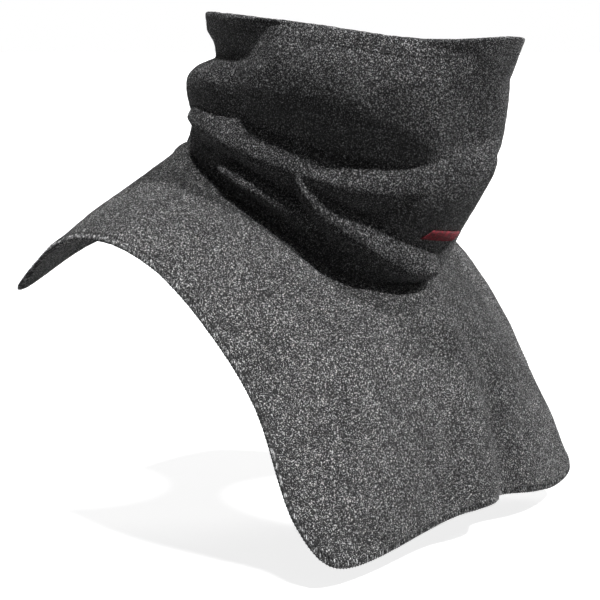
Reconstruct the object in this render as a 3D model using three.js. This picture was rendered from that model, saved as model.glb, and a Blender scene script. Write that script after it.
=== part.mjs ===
// A turtleneck dickey: a slouched neck tube of thick pile cloth, sewn to a bib that lies over the shoulders.
// Millimetres, +Z up. The wearer's front faces -Y and the wearer's right is -X.
// The origin is the middle of the neck seam, where the neck passes through the bib.
import * as THREE from 'three';

// Cloth
const NECK_WALL = 3.0;
const BIB_WALL = 2.8;
const SEAM_GAP = 0.3;

// Neck tube: the seam ring below and the rim above, both measured as half sizes
const SEAM_HALF_DEPTH = 79;
const SEAM_HALF_WIDTH = 68;
const SEAM_RISE = 38;
const RIM_HALF_DEPTH = 100;
const RIM_HALF_WIDTH = 74;
const RIM_HEIGHT = 104;
const RIM_SLOPE = 12;
const NECK_LEAN = 35;
const FOLD_DEPTH = 10;
const FOLD_SAG = 5;

// Bib: how far the hem reaches from the middle of the neck seam
const BIB_HALF_WIDTH = 151;
const BIB_FRONT_REACH = 125;
const BIB_BACK_REACH = 157;
const BIB_FRONT_DROP = 174;
const BIB_SWELL = 18;
const BIB_FLUTE = 5;
const FAR_CORNER_TUCK = 20;
const FAR_CORNER_LIFT = 6;
const SEAM_SHELF = 0.8;

// Mesh
const COLUMNS = 76;
const NECK_ROWS = 27;
const BIB_ROWS = 9;
const NECK_ROW_CROWDING = 1.3;

// The eight directions round the neck, in degrees from the back over the wearer's right
const COMPASS = [0, 45, 90, 135, 180, 225, 270, 315];

// Height of the seam ring in each direction, as a share of SEAM_RISE
const SEAM_LINE = [0.97, 0.95, 0.13, -0.84, -1.05, -0.84, 0, 0.8];

// Height of the rim above or below RIM_HEIGHT in each direction, as a share of RIM_SLOPE
const RIM_LINE = [0.8, 0.85, 0.38, -0.42, -0.33, -0.5, -0.67, 0];

// Sections of the tube: how far up, how far forward it leans and how far it has widened from seam to rim
const NECK_SECTIONS = [
  { up: 0, lean: 0, widen: 0 },
  { up: 0.3, lean: 0.45, widen: 0.3 },
  { up: 0.65, lean: 0.74, widen: 0.5 },
  { up: 1, lean: 1, widen: 1 },
];

// Rolls and tucks of the slouched tube. Angles run from the back over the wearer's right.
// back, side, turn, fore and front give the height of the crest at the PATH_ANGLES, and above and below
// the height of its two faces, all as shares of the tube's height there.
// out is a share of FOLD_DEPTH, sag of FOLD_SAG.
const PATH_ANGLES = [30, 90, 110, 135, 190];
const NECK_FOLDS = [
  { from: -40, to: 90, fade: 16, out: -0.5, above: 0.2, below: 0.08, sag: 0,
    back: 0.68, side: 0.84, turn: 0.9, fore: 0.95, front: 0.95 },
  { from: -30, to: 84, fade: 30, out: 1.05, above: 0.15, below: 0.44, sag: 0,
    back: 0.5, side: 0.62, turn: 0.65, fore: 0.66, front: 0.6 },
  { from: 60, to: 168, fade: 24, out: 1, above: 0.34, below: 0.26, sag: 0.4,
    back: 0.55, side: 0.66, turn: 0.67, fore: 0.66, front: 0.5 },
  { from: 24, to: 213, fade: 32, out: 1.15, above: 0.14, below: 0.13, sag: 0,
    back: 0.25, side: 0.275, turn: 0.306, fore: 0.36, front: 0.5 },
  { from: 125, to: 213, fade: 30, out: 1.15, above: 0.14, below: 0.34, sag: 0,
    back: 0.36, side: 0.36, turn: 0.36, fore: 0.36, front: 0.5 },
  { from: 66, to: 120, fade: 14, out: 1.15, above: 0.08, below: 0.07, sag: 0,
    back: 0.115, side: 0.115, turn: 0.11, fore: 0.11, front: 0.11 },
  { from: 98, to: 184, fade: 9, out: 1.3, above: 0.13, below: 0.08, sag: 0,
    back: 1, side: 0.5, turn: 0.22, fore: 0.13, front: -0.06 },
  { from: 165, to: 340, fade: 40, out: 0.6, above: 0.24, below: 0.24, sag: 1,
    back: 0.6, side: 0.6, turn: 0.6, fore: 0.6, front: 0.6 },
  { from: 225, to: 345, fade: 35, out: 0.6, above: 0.17, below: 0.2, sag: 1,
    back: 0.22, side: 0.22, turn: 0.22, fore: 0.22, front: 0.22 },
];
const FOLD_HOLD = 0.05;

// Lines that fan out from the neck seam to the hem, from the middle of the back to the middle of the front.
// around is the share of the way, neck the angle on the seam ring, side, fore and drop the place on the hem
// as shares of BIB_HALF_WIDTH, BIB_FRONT_REACH or BIB_BACK_REACH, and BIB_FRONT_DROP, swell of BIB_SWELL.
const BIB_LINES = [
  { around: 0, neck: 0, side: 0, fore: -1, drop: 0.14, swell: 0.2 },
  { around: 0.18, neck: 30, side: 0.62, fore: -0.97, drop: 0.28, swell: 0.1 },
  { around: 0.245, neck: 44, side: 0.77, fore: -0.69, drop: 0.12, swell: 0.15 },
  { around: 0.305, neck: 58, side: 0.89, fore: -0.44, drop: 0.06, swell: 0.25 },
  { around: 0.417, neck: 80, side: 0.98, fore: -0.13, drop: 0.088, swell: 0.5 },
  { around: 0.5, neck: 98, side: 1, fore: 0.2, drop: 0.26, swell: 0.8 },
  { around: 0.583, neck: 115, side: 1, fore: 0.5, drop: 0.52, swell: 1 },
  { around: 0.667, neck: 130, side: 1.04, fore: 0.74, drop: 0.86, swell: 1 },
  { around: 0.75, neck: 145, side: 0.98, fore: 0.92, drop: 0.99, swell: 1 },
  { around: 0.861, neck: 160, side: 0.52, fore: 0.98, drop: 0.97, swell: 0.9 },
  { around: 1, neck: 180, side: 0, fore: 1, drop: 0.94, swell: 0.8 },
];

// Soft upright flutes of the front panel, at a share of the way round the whole hem, deepest at the hem.
// out is a share of BIB_FLUTE.
const BIB_FLUTES = [
  { around: 0.9, width: 0.07, out: -0.5 },
  { around: 0.985, width: 0.06, out: 1 },
  { around: 1.05, width: 0.06, out: -0.9 },
  { around: 1.15, width: 0.08, out: 0.9 },
  { around: 1.27, width: 0.06, out: -0.7 },
];

const radians = THREE.MathUtils.degToRad;
const lerp = THREE.MathUtils.lerp;

function smooth(share) {
  return THREE.MathUtils.smoothstep(share, 0, 1);
}

// A smooth curve through values given at rising places, with one more place kept at each end
function curve(places, values, at) {
  let i = 1;
  while (i < places.length - 3 && at >= places[i + 1]) {
    i += 1;
  }
  const span = places[i + 1] - places[i];
  const t = (at - places[i]) / span;
  const slopeIn = (values[i + 1] - values[i - 1]) / (places[i + 1] - places[i - 1]) * span;
  const slopeOut = (values[i + 2] - values[i]) / (places[i + 2] - places[i]) * span;
  const t2 = t * t;
  const t3 = t2 * t;
  return (2 * t3 - 3 * t2 + 1) * values[i] + (t3 - 2 * t2 + t) * slopeIn
    + (3 * t2 - 2 * t3) * values[i + 1] + (t3 - t2) * slopeOut;
}

// A closed line round the neck, read at any angle
function roundTheNeck(line, degrees) {
  const turn = 360;
  const before = COMPASS.slice(-2).map((a) => a - turn);
  const after = COMPASS.slice(0, 2).map((a) => a + turn);
  const places = [...before, ...COMPASS, ...after];
  const values = [...line.slice(-2), ...line, ...line.slice(0, 2)];
  return curve(places, values, ((degrees % turn) + turn) % turn);
}

// An open row of values, carried on straight past both ends
function along(places, values, at) {
  const last = places.length - 1;
  const longer = (row) => [2 * row[0] - row[1], ...row, 2 * row[last] - row[last - 1]];
  return curve(longer(places), longer(values), at);
}

function seamHeight(degrees) {
  return SEAM_RISE * roundTheNeck(SEAM_LINE, degrees);
}

function rimHeight(degrees) {
  return RIM_HEIGHT + RIM_SLOPE * roundTheNeck(RIM_LINE, degrees);
}

// How far the folds push the cloth out and let it sag, in shares of FOLD_DEPTH and FOLD_SAG.
// A roll has a crisp upper edge and a soft underside, and where two rolls meet the outer one is seen.
function neckFold(degrees, up) {
  let roll = 0;
  let tuck = 0;
  let sag = 0;
  for (const f of NECK_FOLDS) {
    const middle = (f.from + f.to) / 2;
    const half = (f.to - f.from) / 2;
    const turned = THREE.MathUtils.euclideanModulo(degrees - middle + 180, 360) - 180;
    const within = smooth((half - Math.abs(turned)) / f.fade);
    if (within > 0) {
      const crest = along(PATH_ANGLES, [f.back, f.side, f.turn, f.fore, f.front], middle + turned);
      const over = THREE.MathUtils.clamp((up - crest) / f.above, 0, 1);
      const under = (crest - up) / f.below;
      const push = within * (1 - over * over) * smooth(1 - under) * smooth(up / FOLD_HOLD);
      roll = Math.max(roll, f.out * push);
      tuck = Math.min(tuck, f.out * push);
      sag = Math.max(sag, f.sag * push);
    }
  }
  return { out: roll + tuck, sag };
}

// A point of the neck tube, by angle round the neck and share of the way up, moved out by outward
function neckPoint(degrees, up, outward) {
  const ups = NECK_SECTIONS.map((s) => s.up);
  const lean = NECK_LEAN * along(ups, NECK_SECTIONS.map((s) => s.lean), up);
  const widen = along(ups, NECK_SECTIONS.map((s) => s.widen), up);
  const halfDepth = lerp(SEAM_HALF_DEPTH, RIM_HALF_DEPTH, widen);
  const halfWidth = lerp(SEAM_HALF_WIDTH, RIM_HALF_WIDTH, widen);
  const sin = Math.sin(radians(degrees));
  const cos = Math.cos(radians(degrees));
  const away = new THREE.Vector2(-sin / halfWidth, cos / halfDepth).normalize();
  const fold = neckFold(degrees, up);
  const push = FOLD_DEPTH * fold.out + outward;
  const height = lerp(seamHeight(degrees), rimHeight(degrees), up) - FOLD_SAG * fold.sag;
  return new THREE.Vector3(-halfWidth * sin + away.x * push, -lean + halfDepth * cos + away.y * push, height);
}

// One line of the bib, by share of the way round: its angle at the seam, its place on the hem and its swell
function bibLine(around) {
  const far = around > 1;
  const share = far ? 2 - around : around;
  const rows = BIB_LINES;
  const last = rows.length - 1;
  const places = [-rows[1].around, ...rows.map((r) => r.around), 2 - rows[last - 1].around];
  const even = (name) => curve(places, [rows[1][name], ...rows.map((r) => r[name]), rows[last - 1][name]], share);
  const side = curve(places, [-rows[1].side, ...rows.map((r) => r.side), -rows[last - 1].side], share);
  const turned = curve(places, [-rows[1].neck, ...rows.map((r) => r.neck), 360 - rows[last - 1].neck], share);
  const fore = even('fore');
  const tuck = far ? FAR_CORNER_TUCK * smooth((share - 0.5) / 0.25) * Math.min(1, 1.6 * side) : 0;
  const lift = far ? FAR_CORNER_LIFT * smooth(1 - Math.abs(share - 0.73) / 0.12) : 0;
  return {
    degrees: far ? 360 - turned : turned,
    x: (far ? 1 : -1) * (BIB_HALF_WIDTH * side - tuck),
    y: -fore * (fore > 0 ? BIB_FRONT_REACH : BIB_BACK_REACH),
    z: lift - BIB_FRONT_DROP * even('drop'),
    swell: BIB_SWELL * even('swell'),
  };
}

function bibFlute(around, down) {
  let out = 0;
  for (const f of BIB_FLUTES) {
    out += f.out * smooth(1 - Math.abs(around - f.around) / f.width);
  }
  return BIB_FLUTE * out * smooth(down);
}

// A point of the bib's top side, by share of the way round and share of the way from the seam to the hem
function bibPoint(around, down) {
  const line = bibLine(around);
  const start = neckPoint(line.degrees, 0, SEAM_SHELF);
  const hem = new THREE.Vector3(line.x, line.y, line.z);
  const point = start.clone().lerp(hem, down);
  const away = new THREE.Vector2(hem.x, hem.y).normalize();
  const arch = 4 * down * (1 - down);
  point.z += 0.8 * arch * line.swell;
  point.y += 0.5 * arch * line.swell * away.y;
  const flute = bibFlute(around, down);
  point.x += away.x * flute;
  point.y += away.y * flute;
  return point;
}

// The bib runs in under the tube's wall as a level shelf, so that the tube is seated on it
function bibShelf(around) {
  return neckPoint(bibLine(around).degrees, 0, -NECK_WALL);
}

// Turns two grids of rows, the outer and the inner side of a cloth, into one closed body
function clothGeometry(outer, inner) {
  const rows = outer.length;
  const positions = [...outer.flat(), ...inner.flat()].flatMap((p) => [p.x, p.y, p.z]);
  const indices = [];
  const at = (side, row, column) => (side * rows + row) * COLUMNS + column % COLUMNS;
  const quad = (a, b, c, d) => indices.push(a, b, c, a, c, d);
  for (let column = 0; column < COLUMNS; column += 1) {
    const next = column + 1;
    for (let row = 0; row < rows - 1; row += 1) {
      quad(at(0, row, column), at(0, row, next), at(0, row + 1, next), at(0, row + 1, column));
      quad(at(1, row, column), at(1, row + 1, column), at(1, row + 1, next), at(1, row, next));
    }
    quad(at(1, 0, column), at(1, 0, next), at(0, 0, next), at(0, 0, column));
    quad(at(0, rows - 1, column), at(0, rows - 1, next), at(1, rows - 1, next), at(1, rows - 1, column));
  }
  const geometry = new THREE.BufferGeometry();
  geometry.setAttribute('position', new THREE.Float32BufferAttribute(positions, 3));
  geometry.setIndex(indices);
  geometry.computeVertexNormals();
  return geometry;
}

// Rows from the first to the last, each a ring of points
function grid(rowCount, pointAt) {
  return Array.from({ length: rowCount + 1 }, (_, row) => (
    Array.from({ length: COLUMNS }, (__, column) => pointAt(column / COLUMNS, row / rowCount))
  ));
}

// The neck tube: rows run from the seam up to the rim
function neckGeometry() {
  const side = (outward) => grid(NECK_ROWS, (turn, share) => {
    const point = neckPoint(360 * turn, share ** NECK_ROW_CROWDING, outward);
    point.z += SEAM_GAP;
    return point;
  });
  return clothGeometry(side(0), side(-NECK_WALL));
}

// The bib: rows run from the hem up to the seam, then in under the tube as the shelf
function bibGeometry() {
  const top = grid(BIB_ROWS, (turn, share) => bibPoint(2 * turn, 1 - share));
  top.push(Array.from({ length: COLUMNS }, (_, column) => bibShelf(2 * column / COLUMNS)));
  const under = top.map((ring, row) => ring.map((point, column) => {
    const before = ring[(column + COLUMNS - 1) % COLUMNS];
    const after = ring[(column + 1) % COLUMNS];
    const lower = top[Math.max(row - 1, 0)][column];
    const upper = top[Math.min(row + 1, top.length - 1)][column];
    const round = after.clone().sub(before);
    const rise = upper.clone().sub(lower);
    return point.clone().addScaledVector(round.cross(rise).normalize(), -BIB_WALL);
  }));
  return clothGeometry(top, under);
}

function pileCloth(color) {
  return new THREE.MeshStandardMaterial({ color, roughness: 0.95, metalness: 0 });
}

const neckTube = new THREE.Mesh(neckGeometry(), pileCloth(0x3c3c3e));
neckTube.name = 'neck_tube';

const bib = new THREE.Mesh(bibGeometry(), pileCloth(0x4a4a4c));
bib.name = 'bib';

const group = new THREE.Group();
group.add(neckTube, bib);

export default group;
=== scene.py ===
import math

import bpy
import numpy as np
from mathutils import Matrix, Vector, noise


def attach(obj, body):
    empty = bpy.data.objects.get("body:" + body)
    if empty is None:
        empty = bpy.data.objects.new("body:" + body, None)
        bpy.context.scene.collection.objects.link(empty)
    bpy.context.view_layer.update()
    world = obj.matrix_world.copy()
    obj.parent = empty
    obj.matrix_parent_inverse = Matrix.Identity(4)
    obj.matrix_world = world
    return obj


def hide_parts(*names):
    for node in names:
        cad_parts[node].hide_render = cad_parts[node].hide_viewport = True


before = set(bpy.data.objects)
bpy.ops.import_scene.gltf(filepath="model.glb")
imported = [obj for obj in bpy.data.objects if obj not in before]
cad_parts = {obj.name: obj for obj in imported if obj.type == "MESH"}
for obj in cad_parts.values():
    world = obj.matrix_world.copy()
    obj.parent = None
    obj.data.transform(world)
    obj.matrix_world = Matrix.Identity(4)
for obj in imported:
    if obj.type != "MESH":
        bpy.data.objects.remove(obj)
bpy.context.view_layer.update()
bpy.ops.object.select_all(action="DESELECT")


# Camera
# It stands at rim height, off the front towards -X, and looks slightly down.
# Its lens is long, so that the near folds look no larger than the far ones.
camera_distance = 1.2
camera_azimuth = -57.0
camera_height = 0.098
camera_beyond_axis = -0.0057
camera_pitch = -7.3
camera_turn = 0.573

bpy.ops.object.camera_add()
camera = bpy.context.object
camera.name = "view_camera"
camera.data.lens = 120.0
camera.data.sensor_width = 36.0
camera.location = (
    camera_distance * math.sin(math.radians(camera_azimuth)),
    camera_beyond_axis - camera_distance * math.cos(math.radians(camera_azimuth)),
    camera_height,
)
camera.rotation_euler = (math.radians(90 + camera_pitch), 0, math.radians(camera_azimuth + camera_turn))
bpy.context.scene.camera = camera


# Neck tube
# A loop of thick brushed pile cloth, cut longer than the neck, so that it slouches into rolls and tucks.
# Its top edge is turned in and stitched down, and its lower edge is sewn into the bib's neck hole.
neck_wall = 0.003
seam_gap = 0.0003
seam_half_depth = 0.079
seam_half_width = 0.068
seam_rise = 0.038
rim_half_depth = 0.100
rim_half_width = 0.074
rim_height = 0.104
rim_slope = 0.012
neck_lean = 0.035
fold_depth = 0.010
fold_sag = 0.005
fold_hold = 0.05

# The eight directions round the neck, in degrees from the back over the -X side
compass = [0, 45, 90, 135, 180, 225, 270, 315]
seam_line = [0.97, 0.95, 0.13, -0.84, -1.05, -0.84, 0, 0.8]
rim_line = [0.8, 0.85, 0.38, -0.42, -0.33, -0.5, -0.67, 0]

# Share of the way up, forward lean, widening from the seam to the rim
neck_sections = [
    (0, 0, 0),
    (0.3, 0.45, 0.3),
    (0.65, 0.74, 0.5),
    (1, 1, 1),
]

# Rolls and tucks. An angle on the neck for each crest height, then the table's columns:
# from, to, fade, crest heights at the path angles, push out, face above, face below, sag
path_angles = [30, 90, 110, 135, 190]
neck_folds = [
    (-40, 90, 16, (0.68, 0.84, 0.9, 0.95, 0.95), -0.5, 0.2, 0.08, 0),
    (-30, 84, 30, (0.5, 0.62, 0.65, 0.66, 0.6), 1.05, 0.15, 0.44, 0),
    (60, 168, 24, (0.55, 0.66, 0.67, 0.66, 0.5), 1, 0.34, 0.26, 0.4),
    (24, 213, 32, (0.25, 0.275, 0.306, 0.36, 0.5), 1.15, 0.14, 0.13, 0),
    (125, 213, 30, (0.36, 0.36, 0.36, 0.36, 0.5), 1.15, 0.14, 0.34, 0),
    (66, 120, 14, (0.115, 0.115, 0.11, 0.11, 0.11), 1.15, 0.08, 0.07, 0),
    (98, 184, 9, (1.0, 0.5, 0.22, 0.13, -0.06), 1.3, 0.13, 0.08, 0),
    (165, 340, 40, (0.6, 0.6, 0.6, 0.6, 0.6), 0.6, 0.24, 0.24, 1),
    (225, 345, 35, (0.22, 0.22, 0.22, 0.22, 0.22), 0.6, 0.17, 0.2, 1),
]


def smooth(share):
    share = np.clip(share, 0, 1)
    return share * share * (3 - 2 * share)


def curve(places, values, at):
    """A smooth curve through values at rising places, with one more place kept at each end."""
    places = np.array(places, float)
    values = np.array(values, float)
    i = np.clip(np.searchsorted(places, at, side="right") - 1, 1, len(places) - 3)
    span = places[i + 1] - places[i]
    t = (at - places[i]) / span
    slope_in = (values[i + 1] - values[i - 1]) / (places[i + 1] - places[i - 1]) * span
    slope_out = (values[i + 2] - values[i]) / (places[i + 2] - places[i]) * span
    rise = t * t * (3 - 2 * t)
    return values[i] * (1 - rise) + values[i + 1] * rise + t * (1 - t) * ((1 - t) * slope_in - t * slope_out)


def along(places, values, at):
    """An open row of values, carried on straight past both ends."""
    places = [2 * places[0] - places[1], *places, 2 * places[-1] - places[-2]]
    values = [2 * values[0] - values[1], *values, 2 * values[-1] - values[-2]]
    return curve(places, values, at)


def round_the_neck(line, degrees):
    places = [a - 360 for a in compass[-2:]] + compass + [a + 360 for a in compass[:2]]
    return curve(places, line[-2:] + line + line[:2], np.mod(degrees, 360))


def neck_fold(degrees, up):
    """How far the folds push the cloth out and let it sag, in shares of the fold depth and sag."""
    roll = np.zeros(np.broadcast(degrees, up).shape)
    tuck = np.zeros_like(roll)
    sag = np.zeros_like(roll)
    for start, end, fade, heights, push_out, above, below, sink in neck_folds:
        middle = (start + end) / 2
        turned = np.mod(degrees - middle + 180, 360) - 180
        within = smooth(((end - start) / 2 - np.abs(turned)) / fade)
        crest = along(path_angles, heights, middle + turned)
        over = np.clip((up - crest) / above, 0, 1)
        under = (crest - up) / below
        push = within * (1 - over ** 2) * smooth(1 - under) * smooth(up / fold_hold)
        roll = np.maximum(roll, push_out * push)
        tuck = np.minimum(tuck, push_out * push)
        sag = np.maximum(sag, sink * push)
    return roll + tuck, sag


def neck_surface(degrees, up, outward):
    """Points of the tube by angle round the neck and share of the way up, moved out by outward."""
    ups = [s[0] for s in neck_sections]
    lean = neck_lean * along(ups, [s[1] for s in neck_sections], up)
    widen = along(ups, [s[2] for s in neck_sections], up)
    half_depth = seam_half_depth + (rim_half_depth - seam_half_depth) * widen
    half_width = seam_half_width + (rim_half_width - seam_half_width) * widen
    sin = np.sin(np.radians(degrees))
    cos = np.cos(np.radians(degrees))
    length = np.hypot(sin / half_width, cos / half_depth)
    out, sag = neck_fold(degrees, up)
    push = fold_depth * out + outward
    low = seam_rise * round_the_neck(seam_line, degrees)
    high = rim_height + rim_slope * round_the_neck(rim_line, degrees)
    x = -half_width * sin - sin / half_width / length * push
    y = -lean + half_depth * cos + cos / half_depth / length * push
    z = low + (high - low) * up - fold_sag * sag
    return np.stack(np.broadcast_arrays(x, y, z), axis=-1)


def ring_normals(points):
    """Outward unit normals of a cloth given as rows of closed rings."""
    across = np.roll(points, -1, axis=1) - np.roll(points, 1, axis=1)
    rise = np.gradient(points, axis=0)
    normals = np.cross(across, rise)
    return normals / np.linalg.norm(normals, axis=-1, keepdims=True)


def unevenness(points, height, size):
    """Soft bumps of a cloth, about size across, one height for each point."""
    heights = [noise.noise(Vector(p)) for p in points.reshape(-1, 3) / size]
    return height * np.array(heights).reshape(points.shape[:-1])


def rounded_edge(last, before, other, steps=5):
    """Rings that turn from the ring last over to the ring other, bulging away from the ring before."""
    onward = last - before
    onward = onward / np.linalg.norm(onward, axis=-1, keepdims=True)
    half = np.linalg.norm(other - last, axis=-1, keepdims=True) / 2
    angles = np.pi * np.arange(1, steps + 1) / (steps + 1)
    return np.stack([last + (other - last) * (1 - np.cos(a)) / 2 + onward * half * np.sin(a) for a in angles])


def add_piece(name, points, faces):
    mesh = bpy.data.meshes.new(name)
    mesh.from_pydata(points.reshape(-1, 3).tolist(), [], faces.tolist())
    mesh.shade_smooth()
    piece = bpy.data.objects.new(name, mesh)
    bpy.context.collection.objects.link(piece)
    return piece


def cloth_body(name, rings):
    """A closed body from rings that run up the outer side, over the edge, down the inner side and back."""
    rows, columns = rings.shape[:2]
    row, column = np.meshgrid(np.arange(rows), np.arange(columns), indexing="ij")

    def corner(down, across):
        return (row + down) % rows * columns + (column + across) % columns

    faces = np.stack([corner(0, 0), corner(0, 1), corner(1, 1), corner(1, 0)], axis=-1)
    return add_piece(name, rings, faces.reshape(-1, 4))


neck_columns = 440
neck_rows = 141
neck_row_crowding = 1.1
hem_from = 0.84
hem_step = 0.015
hem_thickness = 0.0009
hem_stitch_line = 0.945
stitch_groove = 0.0003
groove_half_height = 0.012
calm_above_seam = 0.06
waver_height = 0.0008
waver_size = 0.021
tuft_height = 0.00028
tuft_size = 0.0032

neck_degrees = np.linspace(0, 360, neck_columns, endpoint=False)[None, :]
neck_ups = (np.linspace(0, 1, neck_rows) ** neck_row_crowding)[:, None]
neck_calm = smooth(neck_ups / calm_above_seam)
neck_outer = neck_surface(neck_degrees, neck_ups, 0)
neck_normals = ring_normals(neck_outer)
neck_tufts = unevenness(neck_outer, tuft_height, tuft_size)
neck_relief = unevenness(neck_outer, waver_height, waver_size) + neck_tufts
neck_groove = stitch_groove * smooth(1 - np.abs(neck_ups - hem_stitch_line) / groove_half_height)
neck_relief = neck_relief - neck_groove
neck_outer = neck_outer + neck_normals * (neck_relief * neck_calm)[..., None]
turned_in = hem_thickness * smooth((neck_ups - hem_from) / hem_step)
neck_inner = neck_surface(neck_degrees, neck_ups, -neck_wall - turned_in)
neck_inner = neck_inner - neck_normals * (neck_tufts * neck_calm)[..., None]
neck_inner = neck_inner[::2]
neck_outer[..., 2] += seam_gap
neck_inner[..., 2] += seam_gap
neck_over = rounded_edge(neck_outer[-1], neck_outer[-2], neck_inner[-1])
neck_tube = cloth_body("neck_tube_cloth", np.concatenate([neck_outer, neck_over, neck_inner[::-1]]))


class Wire:
    """A value in a material, on which Python's operators add Math nodes."""

    def __init__(self, dye, socket):
        self.dye = dye
        self.socket = socket

    def math(self, operation, first, second=None):
        values = {0: first} if second is None else {0: first, 1: second}
        return self.dye.node("ShaderNodeMath", {"operation": operation}, values)

    def __add__(self, other):
        return self.math("ADD", self, other)

    def __sub__(self, other):
        return self.math("SUBTRACT", self, other)

    def __rsub__(self, other):
        return self.math("SUBTRACT", other, self)

    def __mul__(self, other):
        return self.math("MULTIPLY", self, other)

    def __pow__(self, other):
        return self.math("POWER", self, other)

    def __abs__(self):
        return self.math("ABSOLUTE", self)

    __radd__ = __add__
    __rmul__ = __mul__


class Dye:
    """A material under work, with the one method that adds nodes."""

    def __init__(self, name):
        self.material = bpy.data.materials.new(name)
        self.material.use_nodes = True
        self.tree = self.material.node_tree
        self.shader = self.tree.nodes["Principled BSDF"]

    def put(self, socket, value):
        if isinstance(value, Wire):
            self.tree.links.new(value.socket, socket)
        else:
            socket.default_value = value

    def node(self, kind, settings, values, out=0):
        added = self.tree.nodes.new(kind)
        for setting, value in settings.items():
            setattr(added, setting, value)
        for key, value in values.items():
            self.put(added.inputs[key], value)
        return Wire(self, added.outputs[out])

    def noise(self, place, scale, detail, roughness, distortion=0.0):
        return self.node("ShaderNodeTexNoise", {}, {
            "Vector": place,
            "Scale": scale,
            "Detail": detail,
            "Roughness": roughness,
            "Distortion": distortion,
        })

    def spread(self, value, low, high):
        """Stretches a value so that low becomes 0 and high becomes 1, and holds it there."""
        return self.node("ShaderNodeMapRange", {}, {0: value, 1: low, 2: high})

    def mixed(self, share, first, second):
        return self.node("ShaderNodeMix", {"data_type": "RGBA"}, {0: share, 6: first, 7: second}, out=2)

    def finish(self, values):
        for key, value in values.items():
            self.put(self.shader.inputs[key], value)
        return self.material


def pile_cloth(name, ground, tip_and_glint_colour):
    """Brushed pile cloth: curled fibres over a darker ground, faintly mottled, with painted glints: sparse
    bright specks painted into the colour where light would catch fibre tips.
    """
    dye = Dye(name)
    object_place = dye.node("ShaderNodeTexCoord", {}, {}, out=3)
    curls = dye.noise(object_place, scale=1400.0, detail=1.0, roughness=0.5, distortion=1.2)
    fine = dye.noise(object_place, scale=1900.0, detail=0.0, roughness=0.5, distortion=0.3)
    mottle = dye.noise(object_place, scale=60.0, detail=3.0, roughness=0.6)
    # Each cell's colour is read as one grey value, and only the brightest few cells become painted glints,
    # bright specks painted into the colour
    cells = dye.node("ShaderNodeTexVoronoi", {}, {"Vector": object_place, "Scale": 1500.0}, out=1)
    curl = dye.spread(1 - abs(curls * 2 - 1), low=0.86, high=1.0)
    # Sparse bright specks of fine noise are painted glints too, painted into the colour where light would
    # catch fibre tips
    glint = dye.spread(fine, low=0.62, high=0.68)
    painted_glints = dye.spread(cells, low=0.84, high=0.86)
    curl_share = 0.45
    pile_light = 1.9
    pile_dark = 0.05
    glint_light = 2.0
    pile = curl * curl_share + glint
    shade = pile ** 2 * (mottle * pile_light - pile_dark) + painted_glints * (mottle * glint_light)
    bump = dye.node("ShaderNodeBump", {}, {"Strength": 1.0, "Distance": 0.0045, "Height": pile})
    return dye.finish({
        "Base Color": dye.mixed(shade, ground, tip_and_glint_colour),
        "Roughness": 0.85,
        "Specular IOR Level": 0.15,
        "Sheen Weight": 0.06,
        "Sheen Roughness": 0.4,
        "Normal": bump,
    })


# The tube's copy of the cloth's colours is darker than the bib's: painted shade for the weaker light on the
# tube. Its tip colour serves the curled fibres and the painted glints.
charcoal_shaded_ground = (0.018, 0.018, 0.019, 1)
charcoal_shaded_tip_and_glint = (0.9, 0.9, 0.91, 1)
neck_tube.data.materials.append(pile_cloth("neck pile cloth", charcoal_shaded_ground, charcoal_shaded_tip_and_glint))
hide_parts("neck_tube")
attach(neck_tube, "root")


# Bib
# One piece of the same cloth, cut with round corners, that lies over the chest, shoulders and upper back.
# Its neck hole is sewn to the tube, with the seam allowance lying under the bib and showing as a faint ridge.
bib_wall = 0.0028
bib_half_width = 0.151
bib_front_reach = 0.125
bib_back_reach = 0.157
bib_front_drop = 0.174
bib_swell = 0.018
bib_flute_depth = 0.005
swell_up = 0.8
swell_out = 0.5
far_corner_tuck = 0.020
far_tuck_from = 0.5
far_tuck_over = 0.25
far_tuck_rise = 1.6
far_corner_lift = 0.006
far_lift_place = 0.73
far_lift_width = 0.12
seam_shelf = 0.0008

# Share of the way round from the middle of the back to the middle of the front, angle on the neck seam,
# place on the hem as shares of the half width, the front or back reach and the drop, and share of the swell
bib_lines = [
    (0, 0, 0, -1, 0.14, 0.2),
    (0.18, 30, 0.62, -0.97, 0.28, 0.1),
    (0.245, 44, 0.77, -0.69, 0.12, 0.15),
    (0.305, 58, 0.89, -0.44, 0.06, 0.25),
    (0.417, 80, 0.98, -0.13, 0.088, 0.5),
    (0.5, 98, 1, 0.2, 0.26, 0.8),
    (0.583, 115, 1, 0.5, 0.52, 1),
    (0.667, 130, 1.04, 0.74, 0.86, 1),
    (0.75, 145, 0.98, 0.92, 0.99, 1),
    (0.861, 160, 0.52, 0.98, 0.97, 0.9),
    (1, 180, 0, 1, 0.94, 0.8),
]

# Soft upright flutes of the front panel: share of the way round the whole hem, width, push out
bib_flutes = [
    (0.9, 0.07, -0.5),
    (0.985, 0.06, 1),
    (1.05, 0.06, -0.9),
    (1.15, 0.08, 0.9),
    (1.27, 0.06, -0.7),
]


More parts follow.
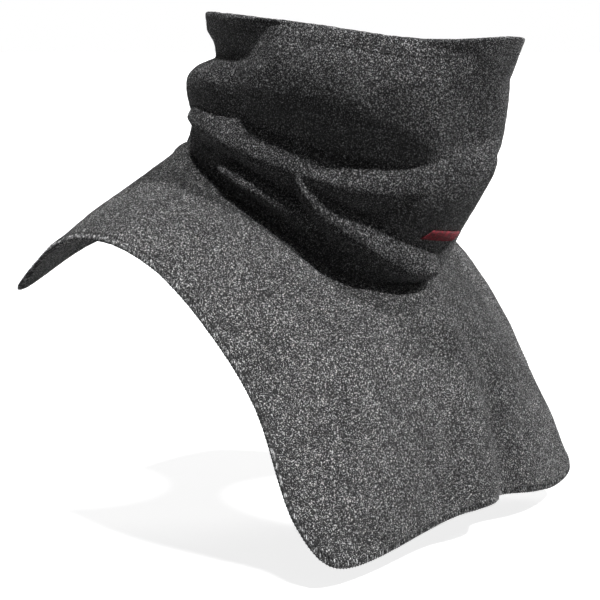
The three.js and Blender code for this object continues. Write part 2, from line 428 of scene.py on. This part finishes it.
def bib_line(around):
    """The lines that fan out from the neck seam to the hem: angle at the seam, place on the hem and swell."""
    far = around > 1
    share = np.where(far, 2 - around, around)
    places = [row[0] for row in bib_lines]
    places = [-places[1], *places, 2 - places[-2]]
    neck, side, fore, drop, swell = (list(values) for values in list(zip(*bib_lines))[1:])

    def even(values):
        return curve(places, [values[1], *values, values[-2]], share)

    side = curve(places, [-side[1], *side, -side[-2]], share)
    turned = curve(places, [-neck[1], *neck, 360 - neck[-2]], share)
    fore = even(fore)
    tuck = far * far_corner_tuck * smooth((share - far_tuck_from) / far_tuck_over)
    tuck = tuck * np.minimum(1, far_tuck_rise * side)
    lift = far * far_corner_lift * smooth(1 - np.abs(share - far_lift_place) / far_lift_width)
    x = np.where(far, 1, -1) * (bib_half_width * side - tuck)
    y = -fore * np.where(fore > 0, bib_front_reach, bib_back_reach)
    z = lift - bib_front_drop * even(drop)
    return np.where(far, 360 - turned, turned), np.stack([x, y, z], axis=-1), bib_swell * even(swell)


def bib_surface(around, down):
    """Points of the bib's top side, by the share of the way round and of the way down to the hem."""
    degrees, hem, swell = bib_line(around)
    start = neck_surface(degrees, 0.0, seam_shelf)
    point = start + (hem - start) * down[..., None]
    away = hem[..., :2] / np.linalg.norm(hem[..., :2], axis=-1, keepdims=True)
    arch = 4 * down * (1 - down)
    flute = sum(push * smooth(1 - np.abs(around - place) / width) for place, width, push in bib_flutes)
    flute = bib_flute_depth * flute * smooth(down)
    point[..., 2] += swell_up * arch * swell
    point[..., 1] += swell_out * arch * swell * away[..., 1]
    point[..., :2] += away * flute[..., None]
    return point


bib_columns = 480
bib_rows = 97
bib_row_crowding = 1.35
shelf_steps = 4
edge_pinch = 0.0005
edge_width = 0.0045
edge_calm = 0.7
calm_beside_seam = 0.012
allowance_height = 0.0009
allowance_from = 0.001
allowance_rise = 0.0015
allowance_to = 0.010
allowance_fall = 0.0025

bib_around = np.linspace(0, 2, bib_columns, endpoint=False)[None, :]
bib_down = 1 - (np.linspace(0, 1, bib_rows) ** bib_row_crowding)[:, None]
bib_top = bib_surface(bib_around, bib_down)
bib_degrees = bib_line(bib_around)[0]
shelf = [neck_surface(bib_degrees, 0.0, seam_shelf - (seam_shelf + neck_wall) * (k + 1) / shelf_steps)
         for k in range(shelf_steps)]
bib_top = np.concatenate([bib_top, *shelf])
bib_normals = ring_normals(bib_top)
from_hem = np.linalg.norm(bib_top - bib_top[:1], axis=-1)
from_seam = np.linalg.norm(bib_top - bib_top[bib_rows - 1], axis=-1)
from_seam[bib_rows - 1:] = 0
near_edge = smooth(1 - from_hem / edge_width)
bib_calm = smooth(from_seam / calm_beside_seam)
allowance = smooth((from_seam - allowance_from) / allowance_rise)
allowance = allowance * smooth((allowance_to - from_seam) / allowance_fall)
bib_tufts = unevenness(bib_top, tuft_height, tuft_size)
bib_relief = unevenness(bib_top, waver_height, waver_size) + bib_tufts
bib_relief = bib_relief * bib_calm * (1 - edge_calm * near_edge)
bib_relief = bib_relief + allowance_height * allowance - edge_pinch * near_edge
bib_depth = bib_wall - edge_pinch * near_edge + bib_tufts * bib_calm
bib_under = bib_top - bib_normals * bib_depth[..., None]
bib_top = bib_top + bib_normals * bib_relief[..., None]
bib_under = bib_under[::2]
bib_edge = rounded_edge(bib_under[0], bib_under[1], bib_top[0])
bib = cloth_body("bib_cloth", np.concatenate([bib_top, bib_under[::-1], bib_edge]))
# The bib's copy of the same cloth's colours is lighter than the tube's: painted light for the stronger light
# on the bib. Its tip colour serves the curled fibres and the painted glints.
bib_lit_ground = (0.03, 0.03, 0.031, 1)
bib_lit_tip_and_glint = (1.0, 1.0, 1.0, 1)
bib.data.materials.append(pile_cloth("bib pile cloth", bib_lit_ground, bib_lit_tip_and_glint))
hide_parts("bib")
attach(bib, "root")


# Overlocked edge
# Light looper thread that wraps the bib's raw edge in close loops, caught down by a needle thread.
# The needle thread runs just inside the loops, and the cloth is drawn thinner towards its edge.
loop_pitch = 0.0022
loop_depth = 0.0032
loop_thread = 0.00034
loop_lift = 0.00012
loop_crown = 1.5 * loop_lift
loop_sunk_depth = 1.1 * loop_depth
loop_middle = 0.3
needle_thread = 0.00030
needle_depth = 1.05 * loop_depth
needle_steps = 4
needle_lift = 0.0002
needle_swing = 0.00035
rows_by_the_edge = 12


def thread_rings(name, paths, across, radius, sides=5):
    """Closed rings of round thread along paths; across is a direction that no path runs in."""
    run = np.roll(paths, -1, axis=1) - np.roll(paths, 1, axis=1)
    run = run / np.linalg.norm(run, axis=-1, keepdims=True)
    first = np.cross(run, across)
    first = first / np.linalg.norm(first, axis=-1, keepdims=True)
    second = np.cross(run, first)
    turn = 2 * np.pi * np.arange(sides)[:, None] / sides
    spokes = np.cos(turn) * first[:, :, None] + np.sin(turn) * second[:, :, None]
    points = paths[:, :, None] + radius * spokes
    count, length = paths.shape[:2]
    ring, step, turned = np.meshgrid(np.arange(count), np.arange(length), np.arange(sides), indexing="ij")

    def corner(onward, across_it):
        return (ring * length + (step + onward) % length) * sides + (turned + across_it) % sides

    faces = np.stack([corner(0, 0), corner(0, 1), corner(1, 1), corner(1, 0)], axis=-1)
    return add_piece(name, points, faces.reshape(-1, 4))


def on_ring(ring, columns):
    """Points between the columns of a closed ring."""
    low = np.floor(columns).astype(int)
    share = (columns - low)[..., None]
    return ring[low % len(ring)] * (1 - share) + ring[(low + 1) % len(ring)] * share


def in_from_edge(side, depth):
    """The ring of one side of the cloth that lies depth in from its edge."""
    reach = np.linalg.norm(side - side[:1], axis=-1)
    ring = []
    for column in range(side.shape[1]):
        depths = reach[:rows_by_the_edge, column]
        places = side[:rows_by_the_edge, column]
        ring.append([np.interp(depth, depths, places[:, axis]) for axis in range(3)])
    return np.array(ring)


edge_mid = bib_edge[len(bib_edge) // 2]
edge_steps = np.linalg.norm(np.roll(edge_mid, -1, axis=0) - edge_mid, axis=-1)
edge_distance = np.concatenate([[0], np.cumsum(edge_steps)])
loop_count = round(edge_distance[-1] / loop_pitch)


def columns_at(places):
    """Column numbers of the hem at places given in loops from the middle of the back."""
    turned = np.mod(places, loop_count)
    return np.interp(turned * edge_distance[-1] / loop_count, edge_distance, np.arange(bib_columns + 1.0))


top_bite = in_from_edge(bib_top, loop_depth)
top_middle = in_from_edge(bib_top, loop_depth / 2) + bib_normals[0] * loop_crown
top_lip = bib_top[0] + bib_normals[0] * loop_lift
under_lip = bib_under[0] - bib_normals[0] * loop_lift
under_middle = in_from_edge(bib_under, loop_depth / 2) - bib_normals[0] * loop_crown
under_bite = in_from_edge(bib_under, loop_depth)
outward = edge_mid - (bib_top[0] + bib_under[0]) / 2
outward = outward / np.linalg.norm(outward, axis=-1, keepdims=True)
lip = edge_mid + outward * loop_lift
cloth_middle = (in_from_edge(bib_top, loop_sunk_depth) + in_from_edge(bib_under, loop_sunk_depth)) / 2

# The rings that each loop passes through, and how far it slants along the hem there, in loops
loop_rings = [
    (cloth_middle, 0.0),
    (top_bite, 0.05),
    (top_middle, 0.35),
    (top_lip, 0.6),
    (lip, 0.5),
    (under_lip, 0.4),
    (under_middle, 0.2),
    (under_bite, 0.0),
]
loop_places = np.arange(loop_count)
loops = np.stack([on_ring(ring, columns_at(loop_places + slant)) for ring, slant in loop_rings], axis=1)
hem_run = np.roll(edge_mid, -1, axis=0) - np.roll(edge_mid, 1, axis=0)
hem_run = on_ring(hem_run, columns_at(loop_places + loop_middle))
edge_loops = thread_rings("bib_edge_loops", loops, hem_run[:, None], loop_thread)

needle_places = np.arange(loop_count * needle_steps) / needle_steps
needle_run = on_ring(in_from_edge(bib_top, needle_depth), columns_at(needle_places))
needle_normals = on_ring(bib_normals[0], columns_at(needle_places))
needle_lifts = needle_lift - needle_swing * np.cos(2 * np.pi * needle_places)
needle_run = needle_run + needle_normals * needle_lifts[:, None]
edge_needle = thread_rings("bib_edge_needle_thread", needle_run[None], needle_normals[None], needle_thread)


def spun_thread(name, dark, light):
    """Spun sewing thread: fine fibres, slightly uneven in colour."""
    dye = Dye(name)
    object_place = dye.node("ShaderNodeTexCoord", {}, {}, out=3)
    fibres = dye.noise(object_place, scale=2600.0, detail=2.0, roughness=0.6)
    patches = dye.noise(object_place, scale=420.0, detail=1.0, roughness=0.5)
    fibre_share = 0.2
    patch_share = 0.8
    shade = dye.spread(fibres * fibre_share + patches * patch_share, low=0.5, high=0.64)
    bump = dye.node("ShaderNodeBump", {}, {"Strength": 0.6, "Distance": 0.00012, "Height": fibres})
    return dye.finish({
        "Base Color": dye.mixed(shade, dark, light),
        "Roughness": 0.7,
        "Specular IOR Level": 0.3,
        "Sheen Weight": 0.2,
        "Normal": bump,
    })


flecked_thread = spun_thread("flecked thread", (0.045, 0.045, 0.046, 1), (0.85, 0.85, 0.86, 1))
dark_thread = spun_thread("charcoal thread", (0.03, 0.03, 0.031, 1), (0.14, 0.14, 0.142, 1))
edge_loops.data.materials.append(flecked_thread)
edge_needle.data.materials.append(dark_thread)
for piece in (edge_loops, edge_needle):
    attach(piece, "root")


# Red bar
# A plain bar of satin stitch low on the tube's front, in red thread.
# Its slanted stitches lie close together over the pile.
bar_from = 160.0
bar_to = 187.0
bar_middle_left = 0.212
bar_middle_right = 0.190
bar_half_height = 0.019
bar_slant = 2.2
bar_thread = 0.00032
bar_lift = 0.0005
bar_loft = 0.0009
bar_stitches = 40
bar_stitch_steps = 10
bar_lies_along = (1.0, 0.3, 0)

bar_turns = np.linspace(0, 2 * np.pi, bar_stitch_steps, endpoint=False)[None, :]
bar_places = ((np.arange(bar_stitches) + 0.5) / bar_stitches)[:, None]
bar_degrees = bar_from + (bar_to - bar_from) * bar_places + bar_slant * np.sin(bar_turns)
bar_ups = bar_middle_left + (bar_middle_right - bar_middle_left) * bar_places
bar_ups = bar_ups + bar_half_height * np.sin(bar_turns)
bar_outward = bar_lift + bar_loft * np.cos(bar_turns)
bar_paths = neck_surface(bar_degrees, bar_ups, bar_outward) + np.array([0, 0, seam_gap])
red_bar = thread_rings("red_satin_bar", bar_paths, np.array(bar_lies_along), bar_thread)
red_thread = spun_thread("red thread", (0.12, 0.010, 0.016, 1), (0.40, 0.025, 0.045, 1))
red_bar.data.materials.append(red_thread)
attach(red_bar, "root")


# Rim stitches
# The rim's turned-in hem is held down by a row of dark stitches that sink into the pile.
# Each stitch is a loop of thread that shows on the outside of the tube.
rim_pitch = 0.0036
rim_thread = 0.00022
rim_stitch_steps = 8
rim_stitch_reach = 0.36
rim_stitch_middle = 0.2
rim_stitch_loft = 1.6

rim_row = int(np.argmin(np.abs(neck_ups[:, 0] - hem_stitch_line)))
rim_ring = neck_outer[rim_row]
rim_normals = neck_normals[rim_row]
rim_steps = np.linalg.norm(np.roll(rim_ring, -1, axis=0) - rim_ring, axis=-1)
rim_distance = np.concatenate([[0], np.cumsum(rim_steps)])
rim_count = round(rim_distance[-1] / rim_pitch)
stitch_turns = np.linspace(0, 2 * np.pi, rim_stitch_steps, endpoint=False)
stitch_along = rim_stitch_reach * np.cos(stitch_turns)
stitch_height = rim_thread * (rim_stitch_middle + rim_stitch_loft * np.sin(stitch_turns))
stitch_places = np.arange(rim_count)[:, None] + 0.5 + stitch_along
stitch_distance = stitch_places * rim_distance[-1] / rim_count
stitch_columns = np.interp(stitch_distance, rim_distance, np.arange(neck_columns + 1.0))
stitch_normals = on_ring(rim_normals, stitch_columns)
stitches = on_ring(rim_ring, stitch_columns) + stitch_normals * stitch_height[None, :, None]
rim_stitches = thread_rings("rim_hem_stitches", stitches, np.array([0, 0, 1.0]), rim_thread)
rim_stitches.data.materials.append(dark_thread)
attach(rim_stitches, "root")


# Neck seam
# The stitched joint where the tube's lower edge meets the bib's neck hole.
# Its dark thread lies in the crease all round.
seam_thread = 0.0006
seam_pitch = 0.003
seam_inset = 0.0004
seam_bulge = 0.0002

seam_ring = neck_outer[0] - np.array([0, 0, seam_gap / 2])
seam_steps = np.linalg.norm(np.roll(seam_ring, -1, axis=0) - seam_ring, axis=-1)
seam_length = np.sum(seam_steps)
seam_out = neck_normals[0] * [1, 1, 0]
seam_out = seam_out / np.linalg.norm(seam_out, axis=-1, keepdims=True)
seam_places = np.cumsum(seam_steps) / seam_length * round(seam_length / seam_pitch)
seam_depth = seam_inset - seam_bulge * np.cos(2 * np.pi * seam_places)
seam_path = seam_ring - seam_out * seam_depth[:, None]
neck_seam = thread_rings("neck_seam_thread", seam_path[None], np.array([0, 0, 1.0]), seam_thread)
neck_seam.data.materials.append(dark_thread)
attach(neck_seam, "root")


# Floor and light
# A pale studio floor just under the dickey, with a glow of its own so that it reads as white.
# One lamp shines from high over the front and one from straight above, with a weak one from the far side.
floor_height = -0.185
floor_radius = 60.0
floor_corners = 96
floor_glow = 0.82
fill_strength = 0.1
backdrop_strength = 1.0

bpy.ops.mesh.primitive_circle_add(
    vertices=floor_corners,
    radius=floor_radius,
    fill_type="NGON",
    location=(0, 0, 0),
)
floor = bpy.context.object
floor.name = "studio_floor"
floor.data.transform(Matrix.Translation((0, 0, floor_height)))
floor_paint = Dye("studio floor")
floor.data.materials.append(floor_paint.finish({
    "Base Color": (0.6, 0.6, 0.6, 1),
    "Roughness": 0.9,
    "Emission Color": (1, 1, 1, 1),
    "Emission Strength": floor_glow,
}))
floor.visible_diffuse = False

# Name, where it shines from, strength, and how wide it looks in degrees
lamps = [
    ("front_lamp", Vector((0.10, -0.64, 0.76)), 2.8, 4),
    ("top_lamp", Vector((-0.12, -0.05, 0.99)), 2.4, 6),
    ("side_lamp", Vector((0.85, -0.2, 0.45)), 0.9, 15),
]
for name, lamp_from, strength, width in lamps:
    bpy.ops.object.light_add(type="SUN", location=lamp_from)
    lamp = bpy.context.object
    lamp.name = name
    lamp.data.angle = math.radians(width)
    lamp.data.energy = strength
    lamp.rotation_euler = (-lamp_from).to_track_quat("-Z", "Y").to_euler()


class Backdrop(Dye):
    """The world under work, with the same method for its nodes."""

    def __init__(self, world):
        self.tree = world.node_tree
        self.shader = self.tree.nodes["Background"]


# The world is plain white behind the dickey, and lights it only dimly
world = bpy.data.worlds.new("studio")
world.use_nodes = True
bpy.context.scene.world = world
backdrop = Backdrop(world)
seen = backdrop.node("ShaderNodeLightPath", {}, {}, out=0)
levels = {"Value": seen, "To Min": fill_strength, "To Max": backdrop_strength}
brightness = backdrop.node("ShaderNodeMapRange", {}, levels)
backdrop.put(backdrop.shader.inputs["Strength"], brightness)
backdrop.put(backdrop.shader.inputs["Color"], (1, 1, 1, 1))
bpy.context.scene.view_settings.view_transform = "Standard"
